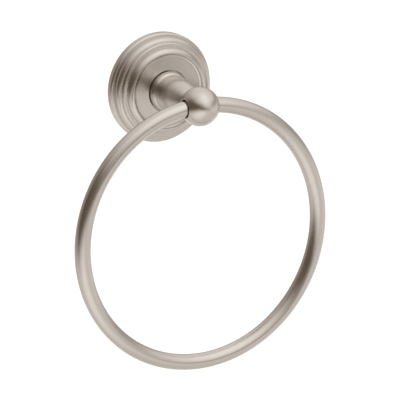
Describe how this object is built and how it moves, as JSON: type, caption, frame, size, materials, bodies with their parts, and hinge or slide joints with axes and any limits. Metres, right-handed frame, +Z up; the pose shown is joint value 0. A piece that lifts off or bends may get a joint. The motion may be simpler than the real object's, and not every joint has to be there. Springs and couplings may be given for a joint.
{
  "type": "towel ring",
  "caption": "Wall-mounted towel ring: a loose round hoop hangs through the ball end of a turned post on a stepped round cover.",
  "frame": {"origin": "on the wall plane, on the axis of the post, midway between the two wall screws", "axes": "+Z up, +Y into the wall, so the ring stands out on the -Y side; X along the wall"},
  "size_m": [0.159, 0.0923, 0.1861],
  "materials": {
    "satin_nickel": "satin nickel, finely brushed",
    "plated_steel": "zinc plated"
  },
  "bodies": {
    "holder": {"escutcheon": "satin_nickel", "post": "satin_nickel", "post_screw": "plated_steel", "lock_washer": "plated_steel", "wall_bracket": "plated_steel", "wall_screws": "plated_steel", "set_screw": "plated_steel"},
    "ring": {"ring": "satin_nickel"}
  },
  "joints": [
    {"name": "ring_swing", "type": "hinge", "parent": "holder", "child": "ring", "pos_m": [0, -0.0507, 0], "axis": [-1, 0, 0], "range_deg": [-17.8, 197.8]}
  ]
}
